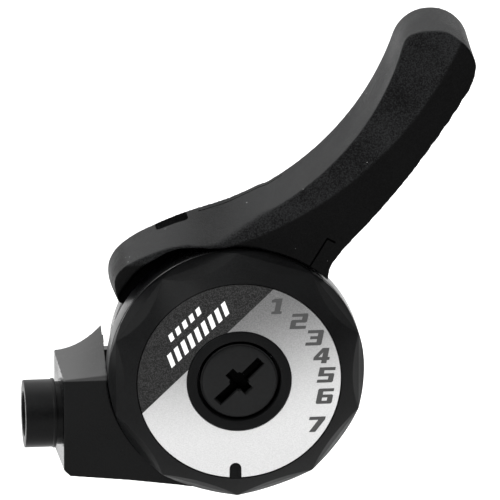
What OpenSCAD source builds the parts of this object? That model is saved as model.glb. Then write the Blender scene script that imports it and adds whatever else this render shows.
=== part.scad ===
// Seven-position thumb shifter for a bicycle handlebar.
// A round dial unit carries a curved thumb lever that winds the gear cable on a drum.
// Frame: the origin is the middle of the handlebar clamp, X runs along the handlebar,
// the dial faces -Y and Z is up. Depths are measured back from the face of the dial.

/* [Handlebar clamp] */
// Diameter of the handlebar
bar_d = 22.2; // [22:0.1:22.4]
// Thickness of the clamp strap
strap_t = 1.5; // [1.3:0.1:1.7]
// Width of the clamp strap along the handlebar
strap_w = 12; // [10:0.5:13]
// Gap between the two ears of the strap
ear_gap = 5; // [4:0.5:5.5]
// Height of the clamp bolt below the handlebar
bolt_drop = 17.8; // [17.4:0.1:18.4]
// Distance from the face of the dial back to the handlebar
dial_reach = 30; // [29.8:0.1:30.4]

/* [Dial] */
// Outside diameter of the dial cap
cap_d = 35; // [34.8:0.1:35.1]
// Diameter of the gear label
label_d = 27.8; // [27.2:0.1:27.9]
// Diameter of the raised ring round the pivot screw
boss_d = 14.6; // [14:0.1:15]
// Number of flat facets on the rim
facets = 10; // [8:1:12]
// Tilt of the facets from the pivot axis
facet_tilt = 33.3; // [31:0.1:35]
// Diameter of the pivot screw's head
screw_head_d = 10.6; // [10:0.1:11]

/* [Lever] */
// Radius of the lever's hollow upper edge
arm_top_r = 36.8; // [36.4:0.1:37]
// Radius of the ridge along the front of the arm
arm_ridge_r = 50.7; // [50:0.1:51.4]
// Radius of the lever's lower edge
arm_under_r = 115; // [114.8:0.1:115.2]
// Radius of the rounded tip
tip_r = 5.3; // [5.2:0.1:5.4]
// Depth of the lever's front face
lever_front = 3.4; // [3:0.1:3.6]
// Thickness of the lever from front to back
lever_t = 10.2; // [10:0.1:10.2]
// Travel of the lever from the first gear to the last, degrees
lever_travel = 96; // [90:1:100]

/* [Cable entry] */
// Outside diameter of the cable boss
stop_d = 9.3; // [9:0.1:9.6]
// Bore for the end of the cable housing
stop_bore_d = 6.2; // [5.2:0.1:6.4]
// Depth of the cable housing's seat
stop_depth = 7.6; // [7:0.1:7.8]
// Bore for the inner wire
wire_bore_d = 2.2; // [1.6:0.1:2.4]

/* [Hidden] */
$fn = 96;

slip = 0.05;            // running clearance on a radius
skim = 0.02;            // gap between faces that slide on each other
bar_r = bar_d / 2;
strap_r = bar_r + strap_t;
cap_r = cap_d / 2;
boss_r = boss_d / 2;

// Depths of the stack on the pivot, from the front
head_seat = 2.1;
cap_floor = [2.6, 3.2];
index_z = [cap_floor[1], 4.2];
drum_z = [4.6, 11.6];
hub_front = 5.4 + skim;
web_z = [drum_z[1], lever_front + lever_t];
hub_back = web_z[1] - 0.3;
plate_z = [web_z[1] + 0.2, 16.4];
saddle_z = 18.6;
nose_front = 2.7;

// Radii of the stack
thread_r = 2.5;
journal_r = 5;
bush_r = 6;
washer_r = 8.4;
washer_bore = journal_r + 0.1;
plate_r = 16.4;
key_r = 6;
key_flat = 5.2;
nose_r = 4;
nose_flat = 3.1;
cap_hollow_r = 16.2;
cap_skin = 1.75;
label_seat = 0.55;
saddle_r = 17.9;        // inner wall of the block, just outside the drum
web_r = 16.5;

// Cable drum
groove_z = 10.3;
groove_w = 1.6;
groove_r = 10.3;
flange_r = 14.9;
band_z = 8.2;

// Detent
index_angles = [for (share = [0, 0.193, 0.357, 0.499, 0.643, 0.796, 1]) share * lever_travel];
detent_at = [20, 200];
detent_r = 13;
ball_r = 1.4;
notch_r = 1;
pocket_z = 8.9;
ball_z = index_z[1] + skim + ball_r;
pin_at = [70, 190, 310];
pin_r = 0.8;
pin_circle_r = 8.3;
pin_z = [9, web_z[1] - 0.6];

// Lever outline
arm_c = [-13, 55.6];
under_c = [-67.2, 98.2];
ridge_c = [-16, 66.6];
tip_c = [27.2, 43.1];
grip_pitch = 2.5;       // spacing of the shallow grip scallops under the tip
grip_count = 6;
hood_r = 21.2;
hood_hollow_r = 19.1;
hood_front_c = [-4.5, -2.6];
hood_back_c = [-0.3, 0];

// Cable block
block_left = -24;
block_z = [5.2, 15.4];
stop_left = -28.6;
stop_at = -7.5;
stop_seat = stop_left + stop_depth;

// Moves to the pivot axis: X stays, local Z is the depth behind the dial's face
module stack() translate([0, -dial_reach, 0]) rotate([-90, 0, 0]) children();

// A solid turned about the pivot from [radius, depth] points
module turned(profile) stack() rotate_extrude() polygon(profile);

// An outline seen from the front, given thickness between two depths
module slab(near, far) {
    translate([0, far - dial_reach, 0]) rotate([90, 0, 0]) linear_extrude(far - near) children();
}

// A flat ring between two depths
module ring(inner, outer, near, far) turned([[inner, near], [outer, near], [outer, far], [inner, far]]);

// Round rod along the pivot at a radius and an angle seen from the front
module rod(radius, angle, near, far, size) {
    slab(near, far) translate(radius * [cos(angle), sin(angle)]) circle(size, $fn = 32);
}

// A disc with two flats, seen from the front
module two_flats(radius, flat) {
    intersection() {
        circle(radius);
        square([2 * radius, 2 * flat], center = true);
    }
}

// Place a piece on the clamp bolt's axis, local Z pointing away from the dial
module on_bolt(y) translate([0, y, -bolt_drop]) rotate([-90, 0, 0]) children();

/* ---------------- Handlebar clamp ---------------- */

ear_y = ear_gap / 2;
ear_end = bolt_drop + 5;
clamp_washer_t = 1;
bolt_r = 2.5;

module clamp_band() {
    color("dimgray") difference() {
        translate([-strap_w / 2, 0, 0]) rotate([90, 0, 90]) linear_extrude(strap_w) {
            difference() {
                union() {
                    circle(strap_r);
                    translate([-ear_y - strap_t, -ear_end]) square([ear_gap + 2 * strap_t, ear_end]);
                }
                circle(bar_r);
                translate([-ear_y, -ear_end - 1]) square([ear_gap, ear_end]);
            }
        }
        on_bolt(-ear_y - strap_t - 1) cylinder(r = bolt_r + 0.2, h = ear_gap + 2 * strap_t + 2);
        for (side = [-1, 1]) translate([side * (strap_w / 2), 0, -ear_end]) rotate([90, 45, 0])
            cube([3.4, 3.4, 30], center = true);
    }
}

module clamp_bolt() {
    head_y = ear_y + strap_t + clamp_washer_t;
    color("silver") difference() {
        union() {
            on_bolt(-ear_y - strap_t - 5) cylinder(r = bolt_r, h = head_y + ear_y + strap_t + 5.5);
            on_bolt(head_y) cylinder(r = 4.25, h = 4);
        }
        on_bolt(head_y + 1.6) cylinder(r = 2.3, h = 3, $fn = 6);
    }
}

module clamp_washer() {
    color("lightgray") difference() {
        on_bolt(ear_y + strap_t) cylinder(r = 4.8, h = clamp_washer_t);
        on_bolt(ear_y + strap_t - 1) cylinder(r = bolt_r + 0.2, h = clamp_washer_t + 2);
    }
}

module clamp_nut() {
    color("silver") difference() {
        on_bolt(-ear_y - strap_t - 4) cylinder(r = 4.62, h = 4, $fn = 6);
        on_bolt(-ear_y - strap_t - 5) cylinder(r = bolt_r, h = 6);
    }
}

/* ---------------- Fixed parts on the pivot ---------------- */

module axle_stud() {
    color("silver") difference() {
        union() {
            slab(nose_front, index_z[1] + 1) two_flats(nose_r, nose_flat);
            ring(0, journal_r, index_z[1], plate_z[1]);
            slab(plate_z[0], plate_z[1] + 0.5) two_flats(key_r, key_flat);
            ring(0, 7.5, plate_z[1], saddle_z);
        }
        ring(0, thread_r, nose_front - 1, 12.5);
        rotate([0, 90, 0]) cylinder(r = strap_r, h = 40, center = true);
    }
}

// Outline of the cable block, seen from the front
module block_outline(top_right) {
    polygon([[block_left, -0.9], top_right, [-10, top_right[1]], [-4, -12], [-6, -16.95], [-7.7, -16.65],
             [-14.6, -15.7], [block_left + 1, -14.85], [block_left, -14]]);
}

module base_housing() {
    color([0.13, 0.13, 0.14]) difference() {
        union() {
            slab(plate_z[0], plate_z[1]) circle(plate_r);
            slab(block_z[0], block_z[1]) block_outline([-17.3, -0.4]);
            // Rising shoulder at the back of the block
            hull() {
                slab(block_z[0], block_z[0] + 0.1) polygon([[block_left, -0.9], [-17.3, -0.4], [-17, -3]]);
                slab(block_z[1] - 0.1, block_z[1]) polygon([[block_left, -0.9], [-20.6, 0.7], [-17.4, 3], [-17, -3]]);
            }
            translate([stop_left, groove_z - dial_reach, stop_at]) rotate([0, 90, 0])
                cylinder(d = stop_d, h = block_left - stop_left + 1);
        }
        slab(block_z[0] - 1, plate_z[0]) circle(saddle_r);
        slab(plate_z[0] - 1, plate_z[1] + 1) difference() {
            translate([-30, -1]) square([30, 8]);
            circle(plate_r);
            translate([-40, -1]) square([40 - saddle_r, 8]);
        }
        slab(plate_z[0] - 1, plate_z[1] + 1) two_flats(key_r + slip, key_flat + slip);
        translate([stop_left - 1, groove_z - dial_reach, stop_at]) rotate([0, 90, 0])
            cylinder(d = stop_bore_d, h = stop_depth + 1);
        translate([stop_seat - 1, groove_z - dial_reach, stop_at]) rotate([0, 90, 0])
            cylinder(d = wire_bore_d, h = 10, $fn = 48);
    }
}

module thrust_washer() color("goldenrod") ring(washer_bore, washer_r, hub_back + skim, plate_z[0]);

module index_plate() {
    color("silver") difference() {
        slab(index_z[0], index_z[1]) difference() {
            circle(15.2);
            two_flats(nose_r + slip, nose_flat + slip);
        }
        for (start = detent_at, turn = index_angles)
            rod(detent_r, start - turn, index_z[0] - 1, index_z[1] + 1, notch_r);
    }
}

// Key that holds the label from turning, at the bottom of the dial
module label_key(size) {
    translate([-0.5, -12.6]) circle(size, $fn = 32);
    translate([-0.5 - size, -14.2]) square([2 * size, 1.6]);
}

module dial_cap() {
    rim_r = label_d / 2 + 0.15;
    cone_end = 2.75;
    rim_back = drum_z[0] - 0.2;
    color([0.13, 0.13, 0.14]) difference() {
        union() {
            turned([[boss_r, label_seat], [boss_r, -0.1], [screw_head_d / 2 + 0.45, -0.1],
                    [screw_head_d / 2 + 0.45, cap_floor[0]], [2, cap_floor[0]], [2, cap_floor[1]],
                    [boss_r, cap_floor[1]], [boss_r, cap_skin], [14.4, cap_skin], [15.2, 2.3],
                    [cap_hollow_r, 3.4], [cap_hollow_r, rim_back], [cap_r, rim_back],
                    [cap_r, cone_end], [rim_r, 0], [rim_r, label_seat]]);
            slab(0, label_seat) label_key(0.7);
        }
        slab(cap_floor[0] - 1, cap_floor[1] + 1) two_flats(nose_r + slip, nose_flat + slip);
        stack() for (k = [0:facets - 1]) rotate([0, 0, k * 360 / facets])
            translate([cap_r - 1.8, 0, 1.36]) rotate([0, facet_tilt, 0]) translate([0, -10, -10])
                cube([6, 20, 20]);
    }
}

module gear_label() {
    color("gainsboro") slab(0.05, label_seat) difference() {
        circle(label_d / 2);
        circle(boss_r + slip);
        label_key(0.8);
        translate([-1.3, -15]) square([1.6, 1.2]);
    }
}

module pivot_screw() {
    head_r = screw_head_d / 2;
    edge = 0.6;
    crown = 0.85;
    dome_r = (head_r * head_r + crown * crown) / (2 * crown);
    color([0.2, 0.2, 0.21]) difference() {
        union() {
            intersection() {
                ring(0, head_r, edge - crown, head_seat);
                stack() translate([0, 0, edge - crown + dome_r]) sphere(dome_r, $fn = 120);
            }
            ring(0, thread_r, head_seat, 12);
        }
        slab(-2, 0.9) rotate(44) square([8.8, 1.2], center = true);
        slab(-2, 1.3) rotate(44) square([1.3, 4.4], center = true);
        slab(-2, 1.3) circle(1.3, $fn = 32);
    }
}

module screw_washer() color("lightgray") ring(thread_r + 0.1, screw_head_d / 2, head_seat, cap_floor[0]);

// Conical spring washer that keeps the lever's turning friction
module spring_washer() {
    color("steelblue") turned([[washer_bore, index_z[1]], [washer_r, index_z[1] + 0.5],
                               [washer_r, index_z[1] + 0.8], [washer_bore, index_z[1] + 0.3]]);
}

module friction_washer() color("sienna") ring(washer_bore, washer_r, index_z[1] + 0.8, hub_front - skim);

/* ---------------- Lever and drum ---------------- */

// Thickness of the arm: flat in front down to the ridge, then sloping back to the lower edge
module arm_body() {
    back = lever_front + lever_t;
    inner = arm_ridge_r - 22;
    outer = arm_ridge_r + 12;
    translate([ridge_c[0], -dial_reach, ridge_c[1]]) rotate([-90, 0, 0]) rotate_extrude($fn = 180)
        polygon([[inner, lever_front], [arm_ridge_r, lever_front], [outer, lever_front + 3.2],
                 [outer, back], [inner, back]]);
}

// Shallow scallops under the tip that the thumb pushes on
module grip_scallops() {
    for (k = [0:grip_count - 1]) {
        turn = -30.2 - k * grip_pitch / arm_under_r * 180 / PI;
        translate(under_c + (arm_under_r + 1.8) * [cos(turn), sin(turn)]) circle(2, $fn = 40);
    }
}

// Side outline of the arm, from the drum to the tip
module arm_outline() {
    difference() {
        union() {
            intersection() {
                translate(under_c) circle(arm_under_r, $fn = 360);
                polygon([[-0.6, 17.2], [6, 12], [40, 25], tip_c + 0.2 * (tip_c - arm_c), arm_c,
                         [4.3, 24.6], [3.2, 22.5], [1.3, 19.8]]);
            }
            polygon([[11, 12], [12.4, 13.4], [12.6, 14.4], [14.5, 16.9], [11, 20]]);
            translate(tip_c) circle(tip_r, $fn = 64);
        }
        translate(arm_c) circle(arm_top_r, $fn = 180);
        circle(saddle_r);
        grip_scallops();
    }
}

module hood_end() polygon([[-12, 7], [-16.05, 10.1], [-16.9, 14.2], [-15.8, 16.2], [-12, 26], [8, 30], [8, 7]]);

module hood() {
    back = lever_front + lever_t;
    difference() {
        hull() {
            slab(lever_front, lever_front + 0.1) intersection() {
                translate(hood_front_c) circle(hood_r);
                hood_end();
                translate([-20, 5]) square([21, 20]);
            }
            slab(back - 0.1, back) intersection() {
                union() {
                    translate(hood_back_c) circle(hood_r);
                    polygon([[-6, 19.9], [4.5, 25.6], [6, 14], [-6, 14]]);
                }
                hood_end();
            }
        }
        slab(lever_front - 1, back + 1) translate(arm_c) circle(arm_top_r, $fn = 180);
        slab(lever_front - 1, web_z[0]) intersection() {
            circle(hood_hollow_r);
            translate([-20, 0]) square([18, 24]);
        }
        slab(lever_front - 1, web_z[0]) circle(saddle_r);
        // Slot that the end of the inner wire is hooked in through
        slab(9.8, back + 1) translate([-8.2, 18.4]) rotate(22.5) square([4.6, 6], center = true);
    }
}

module lever() {
    color([0.1, 0.1, 0.11]) difference() {
        union() {
            intersection() {
                arm_body();
                slab(lever_front - 1, web_z[1] + 1) arm_outline();
            }
            hood();
            slab(web_z[0], web_z[1]) {
                circle(web_r);
                intersection() {
                    circle(saddle_r + 0.5);
                    polygon([[0, 0], [-24, 15], [-12, 30], [20, 25]]);
                }
            }
            // Pointer bar beside the numbers
            slab(lever_front + 0.6, web_z[0]) polygon([[10, 14.85], [12.4, 18.8], [13.4, 18.2], [12.3, 13.1]]);
        }
        ring(0, bush_r, web_z[0] - 1, web_z[1] + 1);
        ring(0, washer_r + 0.2, hub_back, web_z[1] + 1);
        for (a = pin_at) rod(pin_circle_r, a, web_z[0] - 1, pin_z[1], pin_r);
    }
}

module cable_drum() {
    color([0.16, 0.16, 0.17]) difference() {
        turned([[bush_r, hub_front], [washer_r + 0.2, hub_front], [washer_r + 0.2, drum_z[0]],
                [cap_r, drum_z[0]], [cap_r, band_z], [flange_r, band_z + 0.3],
                [flange_r, groove_z - groove_w / 2], [groove_r, groove_z - groove_w / 2],
                [groove_r, groove_z + groove_w / 2], [flange_r, groove_z + groove_w / 2],
                [flange_r, drum_z[1]], [bush_r, drum_z[1]]]);
        for (a = detent_at) rod(detent_r, a, drum_z[0] - 1, pocket_z, ball_r + slip);
        for (a = pin_at) rod(pin_circle_r, a, pin_z[0], drum_z[1] + 1, pin_r);
    }
}

module drum_pins() color("lightgray") for (a = pin_at) rod(pin_circle_r, a, pin_z[0], pin_z[1], pin_r);

module hub_bush() color("goldenrod") ring(journal_r + slip, bush_r, hub_front, hub_back);

/* ---------------- Detent ---------------- */

module detent_balls() {
    color("gainsboro") stack() for (a = detent_at)
        translate([detent_r * cos(a), -detent_r * sin(a), ball_z]) sphere(ball_r, $fn = 48);
}

// Coil spring as a tube swept along a helix
module coil(radius, wire_r, height, turns) {
    sides = 8;
    steps = 16 * turns;
    function on_helix(i, s) =
        let (a = 360 * i * turns / steps, r = radius + wire_r * cos(360 * s / sides))
        [r * cos(a), r * sin(a), wire_r + (height - 2 * wire_r) * i / steps + wire_r * sin(360 * s / sides)];
    points = [for (i = [0:steps], s = [0:sides - 1]) on_helix(i, s)];
    walls = [for (i = [0:steps - 1], s = [0:sides - 1])
        let (n = (s + 1) % sides) [i * sides + s, i * sides + n, (i + 1) * sides + n, (i + 1) * sides + s]];
    ends = [[for (s = [sides - 1:-1:0]) s], [for (s = [0:sides - 1]) steps * sides + s]];
    polyhedron(points, concat(walls, ends), convexity = 6);
}

module detent_springs() {
    from = ball_z + ball_r + 0.1;
    color("silver") stack() for (a = detent_at)
        translate([detent_r * cos(a), -detent_r * sin(a), from]) coil(1, 0.2, pocket_z - from, 3);
}

clamp_band();
clamp_bolt();
clamp_washer();
clamp_nut();
axle_stud();
base_housing();
thrust_washer();
index_plate();
dial_cap();
gear_label();
pivot_screw();
screw_washer();
spring_washer();
friction_washer();
lever();
cable_drum();
drum_pins();
hub_bush();
detent_balls();
detent_springs();
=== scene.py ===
"""Finished look of a seven-speed thumb shifter for a bicycle handlebar.

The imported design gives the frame, the bodies and every fit. This script models the parts that show
as mouldings, pressings and turned metal, and dresses every part with its own finish.
Work on the bench is in millimetres, and a delivered piece is in metres. A depth is measured back
from the face of the dial along the pivot.
"""
import sys
import logging
from collections.abc import Callable, Iterator, Mapping, Sequence
from contextlib import contextmanager
from dataclasses import dataclass, field
from enum import Enum
from math import cos, degrees, pi, radians, sin, tan
from typing import Any, ClassVar

import bmesh
import bpy
from mathutils import Matrix, Vector


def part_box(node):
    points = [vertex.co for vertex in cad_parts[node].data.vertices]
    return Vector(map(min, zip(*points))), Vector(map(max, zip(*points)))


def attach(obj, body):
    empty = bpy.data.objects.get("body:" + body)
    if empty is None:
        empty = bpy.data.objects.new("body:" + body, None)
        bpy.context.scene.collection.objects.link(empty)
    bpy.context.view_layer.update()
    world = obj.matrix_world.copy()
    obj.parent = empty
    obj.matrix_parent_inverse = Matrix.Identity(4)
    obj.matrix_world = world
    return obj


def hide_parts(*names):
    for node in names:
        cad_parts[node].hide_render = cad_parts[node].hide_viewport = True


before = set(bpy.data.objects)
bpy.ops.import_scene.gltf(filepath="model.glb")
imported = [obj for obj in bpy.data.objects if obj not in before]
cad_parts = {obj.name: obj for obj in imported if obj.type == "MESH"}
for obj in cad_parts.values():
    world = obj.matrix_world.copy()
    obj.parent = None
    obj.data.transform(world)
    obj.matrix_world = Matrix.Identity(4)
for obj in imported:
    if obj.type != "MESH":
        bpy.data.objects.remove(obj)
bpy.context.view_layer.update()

LOG = logging.getLogger("shifter")
MM = 0.001
FULL_TURN = 2 * pi
PIVOT_AXIS = Vector((0, 1, 0))
BAR_AXIS = Vector((1, 0, 0))

RIDGE_CENTRE = (-16, 66.6)
RIDGE_R = 50.7
KEY_CENTRE = (-0.5, -12.6)
BUSH_R = 6.0

Point = tuple[float, float]
Corner = tuple[float, ...]


class Body(str, Enum):
    """The moving groups that the new pieces ride on."""

    BRACKET = "bracket"
    LEVER = "thumb_lever"


class Kind(str, Enum):
    """What a selection holds."""

    EDGES = "EDGE"
    FACES = "FACE"


def span(node: str) -> tuple[Vector, Vector]:
    """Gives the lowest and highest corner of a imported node, in millimetres."""
    low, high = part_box(node)
    return low / MM, high / MM


FACE_Y = round(span("dial_cap")[0].y, 1) + 0.1


def seen(depth: float) -> Callable[[Point], Vector]:
    """Gives a function that puts a point seen from the front at a depth behind the dial's face."""
    return lambda point: Vector((point[0], FACE_Y + depth, point[1]))


def arc(centre: Point, radius: float, start: float, end: float, count: int) -> list[Point]:
    """Works out points along an arc.

    Args:
        centre: Middle of the arc.
        radius: Radius of the arc.
        start: First angle, in degrees.
        end: Last angle, in degrees.
        count: Number of points, with both ends.

    Returns:
        The points, in order.
    """
    turns = [radians(start + (end - start) * step / (count - 1)) for step in range(count)]
    return [(centre[0] + radius * cos(turn), centre[1] + radius * sin(turn)) for turn in turns]


def circle(radius: float, count: int, centre: Point = (0, 0)) -> list[Point]:
    """Works out the points of a whole circle."""
    return arc(centre, radius, 0, 360, count + 1)[:-1]


def rounded(corners: Sequence[Corner], steps: int = 4) -> list[Point]:
    """Rounds the corners of a closed outline.

    Args:
        corners: Each corner as x, y and, where it is rounded, its radius.
        steps: Number of straight bits in each rounded corner.

    Returns:
        The points of the outline.
    """
    points: list[Point] = []
    for index, corner in enumerate(corners):
        here = Vector(corner[:2])
        if len(corner) < 3:
            points.append(tuple(here))
            continue
        back = (Vector(corners[index - 1][:2]) - here).normalized()
        ahead = (Vector(corners[(index + 1) % len(corners)][:2]) - here).normalized()
        half = back.angle(ahead) / 2
        middle = here + (back + ahead).normalized() * (corner[2] / sin(half))
        first = here + back * (corner[2] / tan(half)) - middle
        last = here + ahead * (corner[2] / tan(half)) - middle
        sweep = first.angle(last)
        for step in range(steps + 1):
            share = step / steps
            spoke = first * sin((1 - share) * sweep) + last * sin(share * sweep)
            points.append(tuple(middle + spoke / sin(sweep)))
    return points


def flowing(points: Sequence[Point], steps: int) -> list[Point]:
    """Runs a smooth curve through points.

    Args:
        points: The points that it passes through.
        steps: Number of straight bits between two of them.

    Returns:
        The points of the curve, with both ends.
    """
    knots = [Vector(point) for point in points]
    knots = [2 * knots[0] - knots[1], *knots, 2 * knots[-1] - knots[-2]]
    result: list[Point] = []
    for before, here, ahead, after in zip(knots, knots[1:], knots[2:], knots[3:]):
        slope = ahead - before
        bend = 2 * before - 5 * here + 4 * ahead - after
        twist = 3 * here - before - 3 * ahead + after
        for step in range(steps):
            share = step / steps
            result.append(tuple((2 * here + slope * share + bend * share**2 + twist * share**3) / 2))
    return result + [tuple(points[-1])]


def threaded(radius: float, start: float, end: float, pitch: float, depth: float) -> list[Point]:
    """Works out the side of a threaded rod.

    Args:
        radius: Radius at the crests.
        start: Place of the first root along the rod.
        end: Place of the last root.
        pitch: Wanted distance between two crests.
        depth: Depth of the thread.

    Returns:
        The roots and crests as radius and place.
    """
    count = int(abs(end - start) / pitch)
    way = (end - start) / count
    points: list[Point] = []
    for turn in range(count):
        points += [(radius - depth, start + way * turn), (radius, start + way * (turn + 0.5))]
    return points + [(radius - depth, end)]


class Work:
    """A piece on the bench: one mesh, and the modelling tools used on it, in millimetres."""

    def __init__(self, name: str, add: Callable[..., Any], **options: Any) -> None:
        """Starts the piece from a primitive.

        Args:
            name: Name of the piece.
            add: Blender's tool that adds the primitive.
            options: The primitive's sizes and place.
        """
        bpy.ops.object.select_all(action="DESELECT")
        add(**options)
        self.item: bpy.types.Object = bpy.context.active_object
        self.item.name = self.item.data.name = name
        bpy.ops.object.transform_apply(location=True, rotation=True, scale=True)

    @classmethod
    def plate(cls, name: str, loops: Sequence[Sequence[Point]], place: Callable[[Point], Vector],
              way: Vector) -> "Work":
        """Makes a plate from its outline.

        Args:
            name: Name of the piece.
            loops: The outer outline, and then those of its holes.
            place: Puts a point of the outline in space.
            way: Direction and thickness of the plate.

        Returns:
            The piece.
        """
        piece = cls(name, bpy.ops.mesh.primitive_circle_add, vertices=len(loops[0]))
        with piece.editing():
            for hole in loops[1:]:
                bpy.ops.mesh.primitive_circle_add(vertices=len(hole))
        points = [point for loop in loops for point in loop]
        for vertex, point in zip(piece.item.data.vertices, points, strict=True):
            vertex.co = place(point)
        with piece.editing(everything=True):
            if len(loops) > 1:
                bpy.ops.mesh.fill(use_beauty=True)
            else:
                bpy.ops.mesh.edge_face_add()
            bpy.ops.mesh.extrude_region_move(TRANSFORM_OT_translate={"value": way})
        return piece.tidy()

    @classmethod
    def turned(cls, name: str, profile: Sequence[Point], place: Callable[[Point], Vector],
               axis: Vector, centre: Vector, steps: int = 128) -> "Work":
        """Makes a piece on the lathe.

        Args:
            name: Name of the piece.
            profile: Closed profile as radius and place along the axis.
            place: Puts a point of the profile in space.
            axis: Direction of the axis.
            centre: A point on the axis.
            steps: Number of steps in the full turn.

        Returns:
            The piece.
        """
        piece = cls(name, bpy.ops.mesh.primitive_circle_add, vertices=len(profile))
        for vertex, point in zip(piece.item.data.vertices, profile, strict=True):
            vertex.co = place(point)
        with piece.editing(everything=True):
            bpy.ops.mesh.spin(steps=steps, angle=FULL_TURN, center=centre, axis=axis)
        return piece.tidy()

    @classmethod
    def dial_turned(cls, name: str, profile: Sequence[Point], steps: int = 128) -> "Work":
        """Turns a piece about the pivot from points of radius and depth."""
        return cls.turned(name, profile, lambda point: Vector((point[0], FACE_Y + point[1], 0)),
                          PIVOT_AXIS, Vector(), steps)

    @classmethod
    def dial_plate(cls, name: str, loops: Sequence[Sequence[Point]], near: float, far: float) -> "Work":
        """Makes a plate seen from the front, between two depths."""
        return cls.plate(name, loops, seen(near), Vector((0, far - near, 0)))

    @classmethod
    def rod(cls, name: str, radius: float, start: Vector, way: Vector, steps: int = 48) -> "Work":
        """Makes a plain round rod, as a tool to cut or join with."""
        return cls(name, bpy.ops.mesh.primitive_cylinder_add, vertices=steps, radius=radius,
                   depth=way.length, location=start + way / 2,
                   rotation=way.to_track_quat("Z", "Y").to_euler())

    @contextmanager
    def editing(self, everything: bool = False) -> Iterator[None]:
        """Holds the piece alone in edit mode.

        Args:
            everything: Whether all of it is selected.
        """
        self.activate()
        bpy.ops.object.mode_set(mode="EDIT")
        if everything:
            bpy.ops.mesh.select_all(action="SELECT")
        yield
        bpy.ops.object.mode_set(mode="OBJECT")

    def activate(self) -> None:
        """Makes the piece the only one selected."""
        bpy.ops.object.select_all(action="DESELECT")
        self.item.select_set(True)
        bpy.context.view_layer.objects.active = self.item

    def pick(self, kind: Kind, test: Callable[[Any], bool]) -> None:
        """Selects what a test accepts. The piece is in edit mode.

        Args:
            kind: Whether edges or faces are tested.
            test: Says whether one of them is selected.
        """
        bpy.ops.mesh.select_mode(type=kind.value)
        bpy.ops.mesh.select_all(action="DESELECT")
        mesh = bmesh.from_edit_mesh(self.item.data)
        mesh.normal_update()
        parts = {Kind.EDGES: mesh.edges, Kind.FACES: mesh.faces}[kind]
        for part in [part for part in parts if test(part)]:
            part.select_set(True)
        bmesh.update_edit_mesh(self.item.data)

    def tidy(self, gap: float = 0.002) -> "Work":
        """Merges close points, drops loose edges and turns the faces outwards.

        Args:
            gap: Distance under which points are merged.

        Returns:
            The piece.
        """
        with self.editing(everything=True):
            bpy.ops.mesh.remove_doubles(threshold=gap)
            bpy.ops.mesh.dissolve_degenerate(threshold=gap / 4)
            bpy.ops.mesh.delete_loose()
            bpy.ops.mesh.select_all(action="SELECT")
            bpy.ops.mesh.normals_make_consistent(inside=False)
        return self

    def apply(self, kind: str, **settings: Any) -> "Work":
        """Adds a modifier and applies it.

        Args:
            kind: Blender's name of the modifier's type.
            settings: Its settings.

        Returns:
            The piece.
        """
        self.activate()
        modifier = self.item.modifiers.new(kind.title(), kind)
        for name, value in settings.items():
            setattr(modifier, name, value)
        bpy.ops.object.modifier_apply(modifier=modifier.name)
        return self

    def combine(self, tool: "Work", operation: str) -> "Work":
        """Cuts with or joins another piece, which is used up.

        Args:
            tool: The other piece.
            operation: Blender's name of the way to combine them.

        Returns:
            The piece.
        """
        self.apply("BOOLEAN", operation=operation, solver="EXACT", object=tool.item)
        spent = tool.item.data
        bpy.data.objects.remove(tool.item)
        bpy.data.meshes.remove(spent)
        return self

    def cut(self, tool: "Work") -> "Work":
        """Takes another piece's shape away from this one."""
        return self.combine(tool, "DIFFERENCE")

    def fuse(self, tool: "Work") -> "Work":
        """Makes another piece one with this one."""
        return self.combine(tool, "UNION")

    def soften(self, width: float, angle: float = 30, segments: int = 2) -> "Work":
        """Rounds every edge sharper than an angle."""
        return self.apply("BEVEL", width=width, segments=segments, limit_method="ANGLE",
                          angle_limit=radians(angle), miter_outer="MITER_ARC", use_clamp_overlap=True)

    def mould(self, grid: float, passes: int) -> "Work":
        """Makes one skin of all its parts and eases the edges, as a mould's polishing does.

        Args:
            grid: Size of the skin's squares.
            passes: How often the skin is eased.

        Returns:
            The piece.
        """
        self.apply("REMESH", mode="VOXEL", voxel_size=grid, adaptivity=0)
        return self.apply("SMOOTH", factor=0.5, iterations=passes)

    def melt(self, middle: Sequence[float], reach: float, passes: int) -> "Work":
        """Eases the skin strongly round a point.

        Args:
            middle: The point.
            reach: Distance where the easing has faded out.
            passes: How often the skin is eased.

        Returns:
            The piece.
        """
        group = self.item.vertex_groups.new(name="melted")
        for vertex in self.item.data.vertices:
            near = 1 - (vertex.co - Vector(middle)).length / reach
            if near > 0:
                group.add([vertex.index], min(1.0, near * 1.6), "REPLACE")
        return self.apply("SMOOTH", factor=0.5, iterations=passes, vertex_group=group.name)

    def join(self, others: Sequence["Work"]) -> "Work":
        """Takes other separate solids into this piece's mesh.

        Args:
            others: The other pieces.

        Returns:
            The piece.
        """
        self.activate()
        for other in others:
            other.item.select_set(True)
        bpy.ops.object.join()
        return self

    def deliver(self, body: Body, slot: str, finish: bpy.types.Material, nodes: Sequence[str] = (),
                smooth: float = 32) -> bpy.types.Object:
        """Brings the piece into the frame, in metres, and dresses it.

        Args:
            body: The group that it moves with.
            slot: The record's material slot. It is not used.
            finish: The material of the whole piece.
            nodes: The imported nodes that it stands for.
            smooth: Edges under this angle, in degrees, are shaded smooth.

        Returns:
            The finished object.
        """
        self.item.data.transform(Matrix.Scale(MM, 4))
        self.item.data.materials.clear()
        self.item.data.materials.append(finish)
        self.activate()
        bpy.ops.object.shade_smooth_by_angle(angle=radians(smooth))
        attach(self.item, body.value)
        if nodes:
            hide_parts(*nodes)
        LOG.info("%s: %d faces on %s", self.item.name, len(self.item.data.polygons), body.value)
        return self.item


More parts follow.
